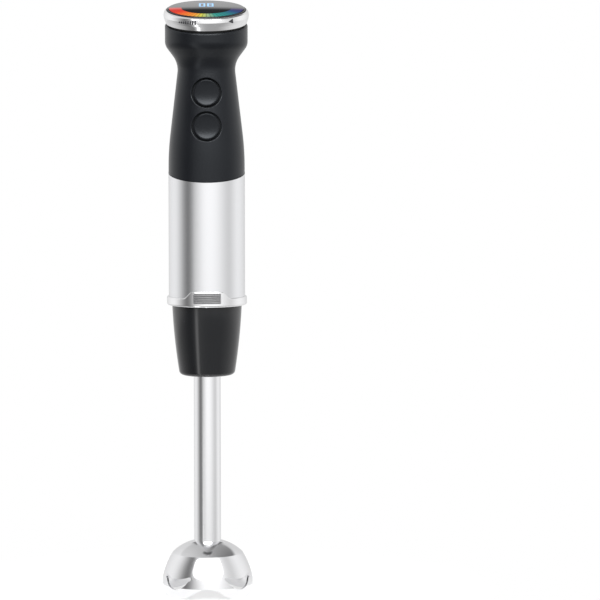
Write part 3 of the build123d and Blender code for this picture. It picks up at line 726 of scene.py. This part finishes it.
def makeTabRibs():
    # fine ribs across the lock tab, each swept round the tab's face
    shape = bmesh.new()
    sweep = 2 * tabPatch["half"] / tabPatch["radius"]
    pitch = (tabPatch["high"] - tabPatch["low"]) / tabPatch["rows"]
    inner, outer = tabPatch["radius"] - tabPatch["sunk"], tabPatch["radius"] + tabPatch["proud"]
    height, bevel, steps = tabPatch["height"], tabPatch["bevel"], tabPatch["steps"]
    corners = ((inner, 0), (outer, bevel), (outer, height - bevel), (inner, height))
    aside = Matrix.Rotation(-sweep / 2, 3, "Z")
    for row in range(tabPatch["rows"]):
        low = tabPatch["low"] + pitch * (row + 0.5) - height / 2
        verts = [shape.verts.new((0, -radius * mm, (low + up) * mm)) for radius, up in corners]
        face = shape.faces.new(verts)
        bmesh.ops.rotate(shape, verts=verts, cent=(0, 0, 0), matrix=aside)
        bmesh.ops.spin(shape, geom=[face], cent=(0, 0, 0), axis=(0, 0, 1), angle=sweep, steps=steps)
    bmesh.ops.holes_fill(shape, edges=shape.edges)
    newPiece("tabRibs", shape, "motor_unit", "zinc_steel", sharp=30)


makeTabRibs()
print("ribs ready")

# metres, degrees and a focal length in millimetres
camera = {"distance": 2.355, "pitch": 5.5, "height": 0.2091, "side": 0.0657, "lens": 200.0}


def makeCamera():
    data = bpy.data.cameras.new("camera")
    data.lens = camera["lens"]
    data.sensor_width = 36.0
    data.clip_end = 50.0
    viewer = linked("camera", data)
    pitch = math.radians(camera["pitch"])
    viewer.location = (
        0,
        -camera["distance"] * math.cos(pitch),
        camera["height"] + camera["distance"] * math.sin(pitch),
    )
    aim = Vector((camera["side"], 0, camera["height"])) - viewer.location
    viewer.rotation_euler = aim.to_track_quat("-Z", "Y").to_euler()
    bpy.context.scene.camera = viewer


# brightness of the studio all round, by the angle from straight in front:
# walls at eye level, and the apron of floor beyond the pale sheet
studioWalls = (
    (-180, 0.70),
    (-150, 0.88),
    (-112, 1.16),
    (-88, 0.80),
    (-66, 0.16),
    (-52, 0.20),
    (-36, 0.62),
    (-12, 1.28),
    (16, 1.34),
    (42, 1.10),
    (68, 0.70),
    (84, 0.88),
    (108, 1.18),
    (146, 0.82),
    (180, 0.70),
)
studioApron = (
    (-180, 0.8),
    (-120, 0.8),
    (-84, 0.30),
    (-60, 0.16),
    (-44, 0.30),
    (-38, 2.2),
    (-34, 2.2),
    (-28, 0.35),
    (30, 0.45),
    (60, 0.35),
    (110, 1.0),
    (180, 0.8),
)
# limits are parts of a ray's own length: a height of 1 is straight up, and 0 is level
studio = {
    "background": 1.0,
    "brightest": 4,
    "apron": {"top": -0.22, "soft": 0.07},
    "roof": {"low": 0.80, "soft": 0.08, "slope": 0.25, "level": 0.50, "lean": 0.5},
    "box": {"low": 0.50, "high": 0.66, "soft": 0.07, "half": 30, "halfSoft": 16, "level": 11.0},
    "panel": {"low": 0.36, "high": 0.66, "soft": 0.05, "half": 0.16, "level": 0.95},
    "panelTop": {"low": 0.435, "soft": 0.04, "level": 0.06},
    "back": {"start": 0.5, "soft": 0.1},
}


def makeStudio():
    # pale walls under a darker roof, with a bright box over the front and a panel behind
    world = bpy.data.worlds.new("studio")
    bpy.context.scene.world = world
    world.use_nodes = True
    tree = world.node_tree
    tree.nodes.clear()
    wire = Wire(tree)
    x, y, z = parted(wire.node("ShaderNodeTexCoord", output=0))
    turn = bearing(x, y) + 0.5

    def allRound(levels):
        # a colour ramp holds no more than 1, so the levels go through it divided
        brightest = studio["brightest"]
        stops = [((angle + 180) / 360, shades(level / brightest)) for angle, level in levels]
        found = ramp(turn, stops, "B_SPLINE")
        return found.node("ShaderNodeSeparateColor", {}, {"Color": found}) * brightest

    def shared(mask, inside, outside):
        return outside * (1 - mask) + inside * mask

    apron, roof, box = studio["apron"], studio["roof"], studio["box"]
    panel, panelTop, back = studio["panel"], studio["panelTop"], studio["back"]
    level = shared(below(z, apron["top"], apron["soft"]), allRound(studioApron), allRound(studioWalls))
    overhead = above(z + roof["slope"] * y, roof["low"], roof["soft"])
    level = shared(overhead, roof["level"] - roof["lean"] * x, level)
    half, halfSoft = box["half"] / 360, box["halfSoft"] / 360
    overFront = between(z, box["low"], box["high"], box["soft"])
    level = level + box["level"] * overFront * between(turn, 0.5 - half, 0.5 + half, halfSoft)
    behind = between(z, panel["low"], panel["high"], panel["soft"]) * above(y, back["start"], back["soft"])
    behind = behind * between(x, -panel["half"], panel["half"], panel["soft"])
    step = above(z, panelTop["low"], panelTop["soft"])
    level = shared(behind, shared(step, panelTop["level"], panel["level"]), level)
    # the camera itself sees a plain background
    seen = wire.node("ShaderNodeLightPath")
    level = shared(seen, studio["background"], level)
    shine = wire.node("ShaderNodeBackground", {}, {"Color": (1, 1, 1, 1), "Strength": level})
    end = tree.nodes.new("ShaderNodeOutputWorld")
    tree.links.new(shine.socket, end.inputs["Surface"])


# the floor is a pale sheet that fades away beyond the object, in metres
sheet = {"radius": 0.6, "solid": 0.09, "gone": 0.21}


def paleFloor(wire):
    x, y = parted(place(wire))[:2]
    fade = below(flatRadius(x, y), sheet["solid"], sheet["gone"] - sheet["solid"])
    cloud = grain(wire, shades(1), 8.0)
    return {
        "Base Color": tinted(cloud, "paleFloor"),
        "Roughness": rough("paleFloor") + 0.1 * cloud,
        "Alpha": fade,
    }


floorLight = {"Specular IOR Level": 0.1, "Emission Color": (1, 1, 1, 1), "Emission Strength": 0.62}


def makeFloor():
    shape = bmesh.new()
    bmesh.ops.create_circle(shape, cap_ends=True, segments=128, radius=sheet["radius"])
    floor = linked("floor", meshFrom("floor", shape))
    floor.data.materials.append(newMaterial("paleFloor", floorLight, paleFloor))


softSun = {"power": 0.5, "spread": 100}


def makeSun():
    # a wide overhead light that fills the shade without showing in the steel
    data = bpy.data.lights.new("overhead", "SUN")
    data.energy = softSun["power"]
    data.angle = math.radians(softSun["spread"])
    lamp = linked("overhead", data)
    lamp.visible_glossy = False


makeCamera()
makeStudio()
makeFloor()
makeSun()
bpy.context.scene.view_settings.view_transform = "Standard"
print("studio ready")
